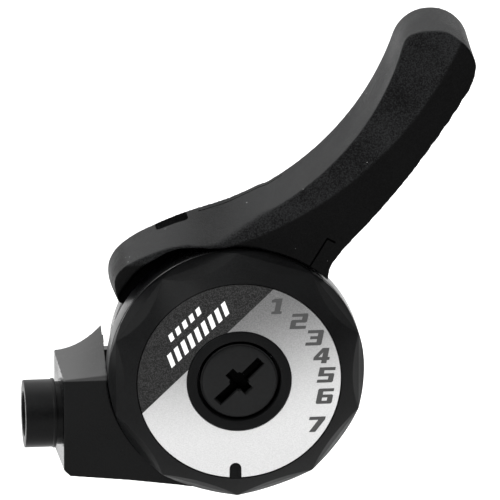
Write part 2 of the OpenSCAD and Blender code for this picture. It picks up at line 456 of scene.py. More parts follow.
class Signal:
    """A shader value that arithmetic can be written on."""

    def __init__(self, graph: "Graph", socket: bpy.types.NodeSocket | None) -> None:
        """Wraps an output socket. An end node has none."""
        self.graph = graph
        self.socket = socket

    def other(self, output: Any) -> "Signal":
        """Gives another output of the same node."""
        return Signal(self.graph, self.socket.node.outputs[output])

    def _maths(self, operation: str, first: Any, second: Any) -> "Signal":
        """Adds a Math node on two values."""
        return self.graph.node("ShaderNodeMath", {"operation": operation}, {0: first, 1: second})

    def __add__(self, other: Any) -> "Signal":
        """Adds."""
        return self._maths("ADD", self, other)

    def __radd__(self, other: Any) -> "Signal":
        """Adds, with a number on the left."""
        return self._maths("ADD", other, self)

    def __sub__(self, other: Any) -> "Signal":
        """Subtracts."""
        return self._maths("SUBTRACT", self, other)

    def __rsub__(self, other: Any) -> "Signal":
        """Subtracts from a number on the left."""
        return self._maths("SUBTRACT", other, self)

    def __mul__(self, other: Any) -> "Signal":
        """Multiplies."""
        return self._maths("MULTIPLY", self, other)

    def __rmul__(self, other: Any) -> "Signal":
        """Multiplies, with a number on the left."""
        return self._maths("MULTIPLY", other, self)

    def __gt__(self, other: Any) -> "Signal":
        """Gives 1 where it is greater, and 0 elsewhere."""
        return self._maths("GREATER_THAN", self, other)

    def __lt__(self, other: Any) -> "Signal":
        """Gives 1 where it is less, and 0 elsewhere."""
        return self._maths("LESS_THAN", self, other)


class Graph:
    """The node tree of one material or of the surroundings."""

    def __init__(self, owner: bpy.types.Material | bpy.types.World) -> None:
        """Empties the owner's tree.

        Args:
            owner: What the tree belongs to.
        """
        self.owner = owner
        owner.use_nodes = True
        self.tree = owner.node_tree
        self.tree.nodes.clear()

    @classmethod
    def named(cls, name: str) -> "Graph":
        """Starts a new material."""
        return cls(bpy.data.materials.new(name))

    def node(self, kind: str, settings: Mapping[str, Any] | None = None,
             inputs: Mapping[Any, Any] | None = None, output: Any = 0) -> Signal:
        """Adds a node.

        Args:
            kind: Blender's name of the node's type.
            settings: Its settings, set first. A ramp's stops are pairs of place and colour.
            inputs: Values or signals for its sockets, by name or number.
            output: The output that is returned.

        Returns:
            The output as a signal.
        """
        made = self.tree.nodes.new(kind)
        for name, value in (settings or {}).items():
            if name == "stops":
                ramp = made.color_ramp.elements
                while len(ramp) < len(value):
                    ramp.new(0.5)
                for stop, (place, colour) in zip(ramp, value, strict=True):
                    stop.position, stop.color = place, colour
            else:
                setattr(made, name, value)
        for name, value in (inputs or {}).items():
            if isinstance(value, Signal):
                self.tree.links.new(value.socket, made.inputs[name])
            else:
                made.inputs[name].default_value = value
        return Signal(self, made.outputs[output] if made.outputs else None)

    def place(self, scale: Sequence[float] = (1, 1, 1), turn: Sequence[float] = (0, 0, 0)) -> Signal:
        """Gives the place on the object in metres, stretched and turned."""
        spot = self.node("ShaderNodeTexCoord", output="Object")
        return self.node("ShaderNodeMapping", None, {"Vector": spot, "Rotation": turn, "Scale": scale})

    def noise(self, where: Signal, size: float, detail: float = 2, rough: float = 0.5) -> Signal:
        """Gives noise from 0 to 1 with lumps of about a size in millimetres."""
        return self.node("ShaderNodeTexNoise", None, {"Vector": where, "Scale": 1 / (size * MM),
                                                      "Detail": detail, "Roughness": rough})

    def ramp(self, value: Signal, low: float, high: float, start: float = 0, end: float = 1) -> Signal:
        """Maps a value between two limits to a start and an end, smoothly."""
        return self.node("ShaderNodeMapRange", {"interpolation_type": "SMOOTHSTEP"},
                         {0: value, 1: low, 2: high, 3: start, 4: end})

    def blend(self, share: Any, first: Any, second: Any) -> Signal:
        """Mixes two colours."""
        return self.node("ShaderNodeMix", {"data_type": "RGBA"}, {0: share, 6: first, 7: second}, 2)

    def specks(self, where: Signal, spacing: float, size: float) -> Signal:
        """Gives 1 on sparse specks and 0 elsewhere, both sizes in millimetres."""
        cell = self.node("ShaderNodeTexVoronoi", None, {"Vector": where, "Scale": 1 / (spacing * MM)})
        return cell < size / spacing

    def relief(self, height: Signal, depth: float, strength: float = 1) -> Signal:
        """Gives a bumped normal from a height, with its depth in millimetres."""
        return self.node("ShaderNodeBump", None,
                         {"Strength": strength, "Distance": depth * MM, "Height": height})

    def surface(self, **inputs: Any) -> bpy.types.Material:
        """Ends the tree in a Principled surface.

        Args:
            inputs: Its sockets, with an underscore for each space in a name.

        Returns:
            The material.
        """
        named = {name.replace("_", " "): value for name, value in inputs.items()}
        shader = self.node("ShaderNodeBsdfPrincipled", None, named)
        self.node("ShaderNodeOutputMaterial", None, {"Surface": shader})
        return self.owner


def grey(value: float, blue: float = 0) -> tuple[float, float, float, float]:
    """Gives a grey with a slight blue or, below zero, warm cast."""
    return (value * (1 - blue), value, value * (1 + blue), 1)


@dataclass(frozen=True)
class MouldedPlastic:
    """Black moulded plastic with an eroded grain."""

    name: str
    shade: float
    roughness: float
    grain: float
    relief: float
    gloss: float = 0.12
    contrast: float = 0.35
    spread: float = 0.03
    dust: float = 0.0
    marks: float = 0.0
    smooth_beyond: tuple[float, float, float] | None = None
    settled_above: tuple[float, float] | None = None

    def make(self) -> bpy.types.Material:
        """Builds the material: grain, cloudy gloss, pale dust and fine rub marks.

        Beyond a radius round a point of the dial's plane, if they are given, it is painted darker, as
        painted shade on the face that slopes back beyond the ridge; this also mutes the grain's tone.
        Left of a place and above a height, if they are given, it is painted lighter, as painted light on
        the top faces.

        Returns:
            The material.
        """
        graph = Graph.named(self.name)
        spot = graph.place()
        grain = graph.noise(spot, self.grain, 2, 0.7)
        cloud = graph.noise(spot, 7, 3)
        tone = graph.ramp(grain * 0.75 + cloud * 0.25, 0.36, 0.66)
        colour = graph.blend(tone, grey(self.shade * (1 - self.contrast), 0.03),
                             grey(self.shade * (1 + 2 * self.contrast), 0.03))
        if self.dust:
            fleck = graph.specks(spot, 1.1, 0.07) * (graph.noise(spot, 4, 2) > 1 - self.dust)
            colour = graph.blend(fleck, colour, grey(0.42))
        # painted shade: beyond the ridge circle the colour is blended towards near black
        if self.smooth_beyond:
            centre_x, centre_z, radius = (MM * number for number in self.smooth_beyond)
            across = graph.node("ShaderNodeSeparateXYZ", None, {0: spot}, "X")
            away_x, away_z = across - centre_x, across.other("Z") - centre_z
            away = away_x * away_x + away_z * away_z
            edge = graph.ramp(away, (radius - 0.25 * MM)**2, (radius + 0.25 * MM)**2)
            colour = graph.blend(edge * 0.85, colour, grey(0.0005))
        # painted light: the top of the cable block, left of a place and above a height, is lightened to a
        # pale grey
        if self.settled_above:
            side, low = (MM * number for number in self.settled_above)
            across = graph.node("ShaderNodeSeparateXYZ", None, {0: spot}, "X")
            painted_top_light = graph.ramp(across.other("Z"), low - 0.2 * MM, low) * (across < side)
            colour = graph.blend(painted_top_light, colour, grey(0.045))
        rough = graph.ramp(cloud, 0.35, 0.7, self.roughness - 0.04, self.roughness + 0.06)
        rough = rough + (grain - 0.5) * (self.spread * 6)
        if self.marks:
            rub = graph.noise(graph.place((1, 1, 9), (0, 0.7, 0)), 2.6, 2) > 0.68
            rough = rough - rub * self.marks
        return graph.surface(Base_Color=colour, Roughness=rough, Specular_IOR_Level=self.gloss,
                             Normal=graph.relief(grain, self.relief))


@dataclass(frozen=True)
class Metal:
    """Metal with a brushed or turned surface, worn spots and fine pits."""

    name: str
    colour: tuple[float, float, float, float]
    roughness: float
    brushing: tuple[float, float, float] = (1, 1, 1)
    metallic: float = 1.0
    pits: float = 0.004
    gloss: float = 0.5
    grime_from: float | None = None

    def make(self) -> bpy.types.Material:
        """Builds the material. Beyond a depth behind the dial's face, if one is given, it is painted near
        black, as painted shade down in a sunk recess.

        Returns:
            The material.
        """
        graph = Graph.named(self.name)
        streak = graph.noise(graph.place(self.brushing), 0.5, 3, 0.6)
        stain = graph.noise(graph.place(), 3.2, 3)
        dark = tuple(channel * 0.72 for channel in self.colour[:3]) + (1,)
        colour = graph.blend(graph.ramp(stain * 0.5 + streak * 0.5, 0.32, 0.68), dark, self.colour)
        rough = graph.ramp(stain + streak * 0.4, 0.45, 0.95, self.roughness - 0.06, self.roughness + 0.1)
        metallic = self.metallic
        # painted shade: everything deeper than the given depth, the screw's recess among it, is blended to
        # near black
        if self.grime_from is not None:
            deep = graph.node("ShaderNodeSeparateXYZ", None, {0: graph.place()}, "Y")
            start = (FACE_Y + self.grime_from) * MM
            painted_depth_shade = graph.ramp(deep, start, start + 0.25 * MM)
            colour = graph.blend(painted_depth_shade, colour, grey(0.001))
            metallic = graph.ramp(painted_depth_shade, 0, 1, self.metallic, 1)
        return graph.surface(Base_Color=colour, Roughness=rough, Metallic=metallic,
                             Specular_IOR_Level=self.gloss, Normal=graph.relief(streak, self.pits))


@dataclass(frozen=True)
class PrintedFoil:
    """The label: satin silver foil with a painted reflection that darkens it towards the top, and a
    charcoal field beyond a straight line.
    """

    name: str
    field_turn: float = 134.0
    field_edge: float = 6.17

    def make(self) -> bpy.types.Material:
        """Builds the material.

        Returns:
            The material.
        """
        graph = Graph.named(self.name)
        spot = graph.place()
        across = graph.node("ShaderNodeSeparateXYZ", None, {0: spot}, "X")
        height = across.other("Z")
        turn = radians(self.field_turn)
        along = across * (cos(turn) / MM) + height * (sin(turn) / MM)
        charcoal = along > self.field_edge
        # painted reflection: the silver goes from bright at the bottom to dark at the top, and stays bright
        # higher up on the right
        painted_reflection_fade = graph.ramp(height * (1 / MM) - across * (across > 0) * (0.35 / MM), -10, 11)
        fine = graph.noise(spot, 0.16, 2, 0.7)
        brushed = graph.noise(graph.place((1, 1, 7), (0, radians(40), 0)), 0.5, 2, 0.6)
        speck = graph.ramp(fine * 0.65 + brushed * 0.35, 0.34, 0.66)
        light = graph.blend(speck, grey(0.52), grey(0.64))
        painted_dark_silver = graph.blend(speck, grey(0.1), grey(0.17))
        silver = graph.blend(painted_reflection_fade, light, painted_dark_silver)
        grains = graph.ramp(graph.noise(spot, 0.13, 1, 0.8), 0.42, 0.66)
        field = graph.blend(grains, grey(0.005), grey(0.036))
        rough = graph.ramp(fine, 0.2, 0.8, 0.34, 0.5)
        return graph.surface(Base_Color=graph.blend(charcoal, silver, field), Roughness=rough,
                             Specular_IOR_Level=0.15, Metallic=0.55 - charcoal * 0.5,
                             Normal=graph.relief(fine, 0.006, 0.6))


@dataclass(frozen=True)
class Ink:
    """Screen-printed ink, slightly uneven."""

    name: str
    colour: tuple[float, float, float, float]

    def make(self) -> bpy.types.Material:
        """Builds the material.

        Returns:
            The material.
        """
        graph = Graph.named(self.name)
        spot = graph.place()
        patch = graph.noise(spot, 0.3, 3, 0.6)
        thin = tuple(channel * 0.8 for channel in self.colour[:3]) + (1,)
        return graph.surface(Base_Color=graph.blend(graph.ramp(patch, 0.35, 0.6), thin, self.colour),
                             Roughness=graph.ramp(patch, 0.3, 0.7, 0.4, 0.55),
                             Normal=graph.relief(patch, 0.004))


@dataclass(frozen=True)
class Finishes:
    """All finishes of the shifter, made once."""

    nylon: bpy.types.Material
    dial: bpy.types.Material
    housing: bpy.types.Material
    boss: bpy.types.Material
    drum: bpy.types.Material
    foil: bpy.types.Material
    dark_ink: bpy.types.Material
    white_ink: bpy.types.Material
    black_screw: bpy.types.Material
    strap: bpy.types.Material
    zinc: bpy.types.Material
    stud: bpy.types.Material
    spring: bpy.types.Material
    ball: bpy.types.Material
    brass: bpy.types.Material
    fibre: bpy.types.Material

    @classmethod
    def make(cls) -> "Finishes":
        """Makes every finish.

        Returns:
            All of them together.
        """
        return cls(
            nylon=MouldedPlastic("grained_nylon", shade=0.007, roughness=0.46, grain=0.17, relief=0.05,
                                 gloss=0.045, contrast=0.8, spread=0.12, dust=0.42,
                                 smooth_beyond=(*RIDGE_CENTRE, RIDGE_R)).make(),
            dial=MouldedPlastic("dial_satin_plastic", shade=0.004, roughness=0.38, grain=0.14,
                                relief=0.008, gloss=0.045, marks=0.05).make(),
            housing=MouldedPlastic("housing_plastic", shade=0.003, roughness=0.2, grain=0.16, relief=0.01,
                                   gloss=0.075, marks=0.04, settled_above=(-16.7, -1.0)).make(),
            boss=MouldedPlastic("boss_plastic", shade=0.003, roughness=0.34, grain=0.14, relief=0.006,
                                gloss=0.07, marks=0.05).make(),
            drum=MouldedPlastic("drum_plastic", shade=0.012, roughness=0.3, grain=0.14, relief=0.005,
                                gloss=0.3, marks=0.05).make(),
            foil=PrintedFoil("label_foil").make(),
            dark_ink=Ink("dark_ink", grey(0.035)).make(),
            white_ink=Ink("white_ink", grey(0.95)).make(),
            black_screw=Metal("black_screw", grey(0.011, 0.02), 0.36, metallic=0.25, pits=0.014,
                              gloss=0.1, grime_from=0.32).make(),
            strap=Metal("black_strap", grey(0.02, 0.03), 0.42, (1, 6, 6), metallic=0.3, pits=0.01).make(),
            zinc=Metal("zinc_plate", (0.62, 0.66, 0.7, 1), 0.3, (1, 8, 1)).make(),
            stud=Metal("turned_steel", (0.5, 0.52, 0.55, 1), 0.28, (1, 9, 1)).make(),
            spring=Metal("spring_steel", (0.4, 0.42, 0.46, 1), 0.25, (4, 4, 1)).make(),
            ball=Metal("polished_ball", (0.7, 0.72, 0.74, 1), 0.12, pits=0.001).make(),
            brass=Metal("bearing_brass", (0.72, 0.47, 0.2, 1), 0.34, (1, 8, 1)).make(),
            fibre=MouldedPlastic("friction_fibre", shade=0.16, roughness=0.75, grain=0.2,
                                 relief=0.02).make(),
        )


@dataclass
class DialCap:
    """The round cap with its faceted rim and the ring round the screw."""

    finishes: Finishes
    facets: int = 10
    facet_tilt: float = 33.3
    facet_reach: float = 15.7
    facet_depth: float = 1.36
    cap_r: float = field(default_factory=lambda: span("dial_cap")[1].x)
    label_r: float = field(default_factory=lambda: span("gear_label")[1].x)
    ring_r: float = 7.12
    ring_rise: float = 0.1
    well_r: float = 5.75
    well_floor: float = 2.6
    hole_r: float = 4.1
    hub_back: float = 3.2
    seat: float = 0.55
    shell_back: float = 1.75
    wall_r: float = 16.2
    rim_back: float = 4.4

    def build(self) -> bpy.types.Object:
        """Turns the cap, cuts the facets, eases the edges and adds the label's key.

        Returns:
            The finished object.
        """
        rim = self.label_r + 0.15
        profile = rounded([
            (self.ring_r, self.seat), (self.ring_r, -self.ring_rise, 0.16),
            (self.well_r, -self.ring_rise, 0.12), (self.well_r, self.well_floor),
            (self.hole_r, self.well_floor), (self.hole_r, self.hub_back), (self.ring_r, self.hub_back),
            (self.ring_r, self.shell_back), (14.4, self.shell_back), (15.2, 2.3), (self.wall_r, 3.4),
            (self.wall_r, self.rim_back), (self.cap_r, self.rim_back, 0.15), (self.cap_r, 2.75),
            (rim, 0), (rim, self.seat)], 3)
        cap = Work.dial_turned("dial_cap_moulding", profile, 200)
        for index in range(self.facets):
            self._cut_facet(cap, index * FULL_TURN / self.facets)
        cap.tidy(0.03)
        self._ease(cap)
        key = Work.dial_plate("key", [self.key_outline(0.7)], 0, self.seat + 0.4)
        key.soften(0.12, segments=3)
        cap.fuse(key)
        return cap.deliver(Body.BRACKET, "body_plastic", self.finishes.dial, ["dial_cap"])

    def _cut_facet(self, cap: Work, turn: float) -> None:
        """Cuts one flat facet on the rim.

        Args:
            cap: The cap.
            turn: The facet's direction from the pivot, in radians.
        """
        out = Vector((cos(turn), 0, sin(turn)))
        normal = out * cos(radians(self.facet_tilt)) - PIVOT_AXIS * sin(radians(self.facet_tilt))
        place = out * self.facet_reach + PIVOT_AXIS * (FACE_Y + self.facet_depth)
        with cap.editing(everything=True):
            bpy.ops.mesh.bisect(plane_co=place, plane_no=normal, use_fill=True, clear_outer=True)

    def _ease(self, cap: Work) -> None:
        """Rounds the edges round the facets and the rim's inner edge.

        Args:
            cap: The cap.
        """
        rim = self.label_r + 0.1
        with cap.editing():
            cap.pick(Kind.EDGES, lambda edge: (
                len(edge.link_faces) == 2 and radians(6) < edge.calc_face_angle() < radians(75)
                and min(Vector((v.co.x, v.co.z)).length for v in edge.verts) > rim
                and max(v.co.y for v in edge.verts) < FACE_Y + 3.6))
            bpy.ops.mesh.bevel(offset=0.11, segments=2, affect="EDGES", clamp_overlap=False)
        cap.tidy(0.004)

    @staticmethod
    def key_outline(radius: float) -> list[Point]:
        """Gives the outline of the key that holds the label from turning."""
        middle, foot = KEY_CENTRE[0], -14.2
        return arc(KEY_CENTRE, radius, 180, 0, 12) + [(middle + radius, foot), (middle - radius, foot)]


@dataclass
class GearLabel:
    """The foil label, its numbers and a plain set of slanted bars."""

    finishes: Finishes
    outer_r: float = field(default_factory=lambda: span("gear_label")[1].x)
    inner_r: float = 7.17
    face: float = 0.05
    back: float = 0.55
    digit_height: float = 2.2
    slant: float = 0.2
    print_height: float = 0.02
    notch: float = 0.8
    notch_turn: float = -92.06
    bar_turn: float = 44.0
    bar_width: float = 0.72
    bar_lean: float = 0.45

    GLYPHS: ClassVar[dict[int, list[list[Point]]]] = {
        1: [[(0, 7.6), (0, 9.2), (2.2, 10), (6.4, 10), (6.4, 1.7), (7.6, 1.7), (7.6, 0), (1.2, 0),
             (1.2, 1.7), (2.9, 1.7), (2.9, 7.6)]],
        2: [[(0, 10), (9.3, 10), (10, 9.2), (10, 4.8), (9.3, 4.1), (3.4, 4.1), (3.4, 2), (10, 2),
             (10, 0), (0, 0), (0, 5.2), (0.7, 6), (6.6, 6), (6.6, 8), (0, 8)]],
        3: [[(0, 10), (9.3, 10), (10, 9.2), (10, 0.8), (9.3, 0), (0, 0), (0, 2), (6.6, 2), (6.6, 4.1),
             (2.2, 4.1), (2.2, 6), (6.6, 6), (6.6, 8), (0, 8)]],
        4: [[(4.4, 10), (8.6, 10), (8.6, 4.1), (10, 4.1), (10, 2.1), (8.6, 2.1), (8.6, 0), (5.2, 0),
             (5.2, 2.1), (0, 2.1), (0, 4.1)], [(5.2, 4.1), (5.2, 7.2), (2.9, 4.1)]],
        5: [[(0, 10), (10, 10), (10, 8), (3.4, 8), (3.4, 6), (9.3, 6), (10, 5.2), (10, 0.8), (9.3, 0),
             (0, 0), (0, 2), (6.6, 2), (6.6, 4.1), (0, 4.1)]],
        6: [[(0.7, 10), (9.8, 10), (9.8, 8), (3.4, 8), (3.4, 6), (9.3, 6), (10, 5.2), (10, 0.8),
             (9.3, 0), (0.7, 0), (0, 0.8), (0, 9.2)], [(3.4, 4.1), (6.6, 4.1), (6.6, 2), (3.4, 2)]],
        7: [[(0, 10), (10, 10), (10, 8.2), (5.4, 0), (1.4, 0), (5.8, 7.9), (0, 7.9)]],
    }
    SPOTS: ClassVar[dict[int, Point]] = {
        1: (64.2, 11.8), 2: (45.7, 11.7), 3: (29.9, 11.9), 4: (16.3, 11.8), 5: (2.5, 11.9),
        6: (-12.2, 12.0), 7: (-32.0, 12.4)}

    def build(self) -> list[bpy.types.Object]:
        """Makes the foil and prints it.

        Returns:
            The finished objects.
        """
        loops = [self._outline(), circle(self.inner_r, 96)]
        foil = Work.dial_plate("label_foil", loops, self.face, self.back)
        foil.soften(0.04, 40, 1)
        pieces = [foil.deliver(Body.BRACKET, "label_metal", self.finishes.foil, ["gear_label"])]
        digits = [self._digit(number) for number in sorted(self.GLYPHS)]
        for marks, ink in ((digits, self.finishes.dark_ink), (self._bars(), self.finishes.white_ink)):
            pieces.append(marks[0].join(marks[1:]).deliver(Body.BRACKET, "label_metal", ink))
        return pieces

    def _outline(self) -> list[Point]:
        """Gives the label's outline, a circle with a notch for the key.

        Returns:
            The points of the outline.
        """
        side = degrees(self.notch / self.outer_r)
        start = self.notch_turn
        ring = arc((0, 0), self.outer_r, start + side, start - side + 360, 160)
        return ring + arc(KEY_CENTRE, self.notch, 180, 0, 10)

    def _digit(self, number: int) -> Work:
        """Prints one number at its place on the dial.

        Args:
            number: The number.

        Returns:
            The print as a piece.
        """
        turn, reach = self.SPOTS[number]
        unit = self.digit_height / 10
        middle = Vector((reach * cos(radians(turn)), reach * sin(radians(turn))))
        wide = max(point[0] for point in self.GLYPHS[number][0])

        def spot(point: Point) -> Point:
            """Slants a point of the number and moves it to its place."""
            across = (point[0] - wide / 2 + self.slant * (point[1] - 5)) * unit
            return (middle.x + across, middle.y + (point[1] - 5) * unit)

        loops = [[spot(point) for point in loop] for loop in self.GLYPHS[number]]
        name = "gear_numbers" if number == 1 else f"number_{number}"
        return Work.dial_plate(name, loops, self.face - self.print_height, self.face + 0.02)

    def _bars(self) -> list[Work]:
        """Prints two rows of slanted bars on the charcoal field.

        Returns:
            Each bar as a piece.
        """
        along = Vector((cos(radians(self.bar_turn)), sin(radians(self.bar_turn))))
        out = Vector((-along.y, along.x))
        rows = [(8.0, 9, 1.28, 1.75, -5.1), (10.75, 5, 1.28, 0.95, -2.6)]
        bars = []
        for distance, count, pitch, height, start in rows:
            for index in range(count):
                foot = out * distance + along * (start + index * pitch)
                lean = along * (height * self.bar_lean)
                end = foot + along * self.bar_width
                corners = [foot, end, end + lean + out * height, foot + lean + out * height]
                name = "label_bars" if not bars else f"bar_{len(bars)}"
                bars.append(Work.dial_plate(name, [[tuple(corner) for corner in corners]],
                                            self.face - self.print_height, self.face + 0.02))
        return bars


@dataclass
class PivotScrew:
    """The domed screw in the middle of the dial."""

    finishes: Finishes
    head_r: float = field(default_factory=lambda: span("pivot_screw")[1].x)
    crown: float = 0.35
    edge: float = 0.15
    seat: float = 2.1
    shank_r: float = 2.5
    shank_end: float = 12.0
    recess_turn: float = 44.0

    def build(self) -> bpy.types.Object:
        """Turns the screw and sinks its recess.

        Returns:
            The finished object.
        """
        dome_r = (self.head_r**2 + self.crown**2) / (2 * self.crown)
        top = self.edge - self.crown
        side = degrees((self.head_r - 0.25) / dome_r)
        dome = [(radius, top + dome_r + rise) for radius, rise in arc((0, 0), dome_r, -90, -90 + side, 12)]
        shank = threaded(self.shank_r - 0.02, self.seat + 0.8, self.shank_end - 0.3, 0.8, 0.22)
        profile = dome + rounded([(self.head_r, self.edge + 0.05, 0.12), (self.head_r, self.seat, 0.1),
                                  (self.shank_r - 0.2, self.seat)], 3)[:-1]
        profile += [(self.shank_r - 0.2, self.seat)] + shank + [(0, self.shank_end - 0.3)]
        screw = Work.dial_turned("pivot_screw_head", profile, 96)
        for tool in self._recess():
            screw.cut(tool)
        screw.soften(0.06, 28, 2)
        return screw.deliver(Body.BRACKET, "black_steel", self.finishes.black_screw, ["pivot_screw"])

    def _recess(self) -> list[Work]:
        """Makes the tools that sink the slot, the cross and the tapered middle.

        Returns:
            The tools.
        """
        tools = [self._wedge("slot", 9.4, 1.5, 1.5, 0.74, 0.0),
                 self._wedge("cross_short", 4.5, 1.55, 1.8, 0.66, 90.0)]
        cone = Work("middle", bpy.ops.mesh.primitive_cone_add, vertices=8, radius1=1.5, radius2=0.9,
                    depth=2.4, location=(0, FACE_Y + 0.7, 0), rotation=(radians(-90), 0, 0))
        return tools + [cone]

    def _wedge(self, name: str, length: float, width: float, depth: float, taper: float,
               turn: float) -> Work:
        """Makes a slot-shaped tool with ends that slope in towards its bottom.

        Args:
            name: Name of the tool.
            length: Length of the slot at the screw's top.
            width: Width of the slot.
            depth: Depth of the slot.
            taper: Length at the bottom as a share of the length at the top.
            turn: Direction of the slot from that of the recess, in degrees.

        Returns:
            The tool.
        """
        height = depth + 1.0
        tool = Work(name, bpy.ops.mesh.primitive_cube_add, size=1, scale=(length, height, width),
                    location=(0, FACE_Y + depth - height / 2, 0))
        with tool.editing():
            tool.pick(Kind.FACES, lambda face: face.normal.y > 0.9)
            bpy.ops.transform.resize(value=(taper, 1, 0.8), center_override=(0, FACE_Y + depth, 0))
        tool.item.data.transform(Matrix.Rotation(-radians(self.recess_turn + turn), 4, "Y"))
        return tool


@dataclass
class ThumbLever:
    """The thumb lever with its hood, its arm and the pointer bar."""

    finishes: Finishes
    near: float = 3.4
    far: float = 13.6
    web: float = 11.6
    web_r: float = 16.5
    hub_r: float = 8.6
    hub_recess: float = 0.3
    saddle_r: float = 17.9
    top_centre: Point = (-13, 55.6)
    top_r: float = 36.8
    under_centre: Point = (-67.2, 98.2)
    under_r: float = 115.0
    tip_centre: Point = (27.2, 43.1)
    tip_r: float = 5.3
    ridge_centre: Point = RIDGE_CENTRE
    ridge_r: float = RIDGE_R
    ridge_reach: float = 30.0
    ridge_start: float = -71.0
    ridge_sweep: float = 60.0
    facet_slope: float = 3.2 / 12
    grip_pitch: float = 2.5
    grip_count: int = 6
    grip_depth: float = 0.1
    grip_width: float = 0.95
    grid: float = 0.2
    passes: int = 7
    kept_share: float = 0.5
    shoulder: Point = (0.6, 21.2)
    shoulder_reach: float = 5.5
    shoulder_passes: int = 90
    slot_centre: Point = (-8.2, 19.3)
    slot_depth: float = 12.1
    slot_tilt: float = -27.0
    bar_outline: tuple[Point, ...] = ((10, 14.85), (12.4, 18.8), (13.4, 18.2), (12.3, 12.6))
    bar_face: float = 4.15

    HOOD_NEAR: ClassVar[list[Point]] = [
        (-15.6, 9.3), (-16.45, 12.0), (-16.6, 13.7), (-16.0, 15.0), (-14.8, 16.1), (-12.9, 17.0),
        (-11.1, 17.7), (-9.3, 18.25), (-7.0, 18.55), (-4.9, 18.4), (-3.0, 18.45), (-0.95, 19.6),
        (0.7, 20.75), (2.2, 21.8), (3.6, 22.76)]
    HOOD_FAR: ClassVar[list[Point]] = [
        (-15.3, 7.4), (-16.45, 10.2), (-16.75, 12.3), (-16.3, 14.0), (-15.2, 15.5), (-13.2, 17.0),
        (-10.9, 18.15), (-8.6, 19.15), (-6.4, 20.0), (-4.4, 20.65), (-2.2, 21.3), (-0.4, 21.85),
        (1.0, 22.4), (2.4, 23.0), (3.9, 23.7)]
    TIP_NEAR: ClassVar[list[Point]] = [
        (22.5, 46.0), (23.1, 47.3), (24.4, 48.0), (26.4, 48.2), (28.5, 48.0), (30.2, 46.9),
        (31.7, 45.4), (32.6, 43.4), (32.5, 41.6)]

    def build(self) -> list[bpy.types.Object]:
        """Moulds the lever, cuts its fine details and adds the pointer bar.

        Returns:
            The finished objects.
        """
        lever = self._body()
        lever.cut(self._hollow())
        lever.cut(self._ridge_cutter())
        lever.cut(Work.rod("saddle", self.saddle_r, seen(1)((0, 0)), PIVOT_AXIS * (self.web - 1), 180))
        inner, recess = BUSH_R - 1, self.far - self.hub_recess
        lever.fuse(Work.dial_turned("web", [
            (inner, self.web), (self.web_r, self.web), (self.web_r, self.far), (self.hub_r, self.far),
            (self.hub_r, recess), (inner, recess)], 96))
        lever.cut(Work.rod("bore", BUSH_R, seen(2)((0, 0)), PIVOT_AXIS * 14, 96))
        lever.mould(self.grid, self.passes)
        lever.melt(seen(self.near)(self.shoulder), self.shoulder_reach, self.shoulder_passes)
        lever.apply("DECIMATE", ratio=self.kept_share)
        lever.cut(self._slot())
        lever.cut(self._seam())
        lever.cut(Work.dial_plate("groove", [self._groove()], 2.5, 6.1))
        pieces = [lever.deliver(Body.LEVER, "lever_plastic", self.finishes.nylon, ["lever"], 50)]
        bar = Work.dial_plate("pointer_bar", [list(self.bar_outline)], self.bar_face, 8)
        bar.cut(Work.rod("saddle", self.saddle_r, seen(1)((0, 0)), PIVOT_AXIS * 9, 180))
        bar.soften(0.14, segments=3)
        pieces.append(bar.deliver(Body.LEVER, "lever_plastic", self.finishes.nylon))
        return pieces

    def _edge(self, hood: Sequence[Point], tip: Sequence[Point], rise: float = 0) -> list[Point]:
        """Gives the lever's outline at one depth.

        Args:
            hood: Points along the hood's upper edge, up to the arm.
            tip: Points round the tip.
            rise: How much the arm's upper edge is raised at its start.

        Returns:
            The points, from the hood's end over the arm to its foot and back through the dial.
        """
        points = flowing(hood, 4)
        for share in (step / 27 for step in range(28)):
            turn = -60.3 + 43.0 * share
            points += arc(self.top_centre, self.top_r - rise * (1 - share**2), turn, turn, 2)[:1]
        points += tip
        for step in range(111):
            turn = -30.3 - 14.3 * step / 110
            along = radians(-30.2 - turn) * self.under_r
            nearest = min(round(along / self.grip_pitch), self.grip_count - 1) * self.grip_pitch
            bite = max(0.0, 1 - ((along - nearest) / self.grip_width) ** 2) * self.grip_depth
            points += arc(self.under_centre, self.under_r - bite, turn, turn, 2)[:1]
        return points + [(13.85, 16.3), (13.05, 15.3), (12.65, 14.3), (12.45, 12.6), (9, 7.2), (-9, 7.2)]

    def _body(self) -> Work:
        """Lofts the lever from its front outline to its back outline.

        Returns:
            The piece.
        """
        front = self._edge(self.HOOD_NEAR, flowing(self.TIP_NEAR, 4))
        back = self._edge(self.HOOD_FAR, arc(self.tip_centre, self.tip_r, 158.7, -22, 33), 0.45)
        lever = Work.dial_plate("thumb_lever_moulding", [front], self.near, self.far)
        for vertex in lever.item.data.vertices:
            if vertex.co.y > FACE_Y + self.far - 0.01:
                here = Vector((vertex.co.x, vertex.co.z))
                nearest = min(range(len(front)), key=lambda index: (Vector(front[index]) - here).length)
                vertex.co.x, vertex.co.z = back[nearest]
        return lever

    def _ridge_cutter(self) -> Work:
        """Makes the tool that slopes the front back beyond the ridge.

        Returns:
            The tool.
        """
        turn = radians(self.ridge_start)
        outer = self.ridge_r + self.ridge_reach
        profile = [(self.ridge_r, self.near), (outer, self.near + self.ridge_reach * self.facet_slope),
                   (outer, 0), (self.ridge_r, 0)]
        centre = seen(0)(self.ridge_centre)
        tool = Work("ridge", bpy.ops.mesh.primitive_circle_add, vertices=4, fill_type="NGON")
        for vertex, (radius, depth) in zip(tool.item.data.vertices, profile, strict=True):
            vertex.co = centre + Vector((radius * cos(turn), depth, radius * sin(turn)))
        with tool.editing(everything=True):
            bpy.ops.mesh.spin(steps=90, angle=-radians(self.ridge_sweep), center=centre, axis=PIVOT_AXIS)
        return tool.tidy()

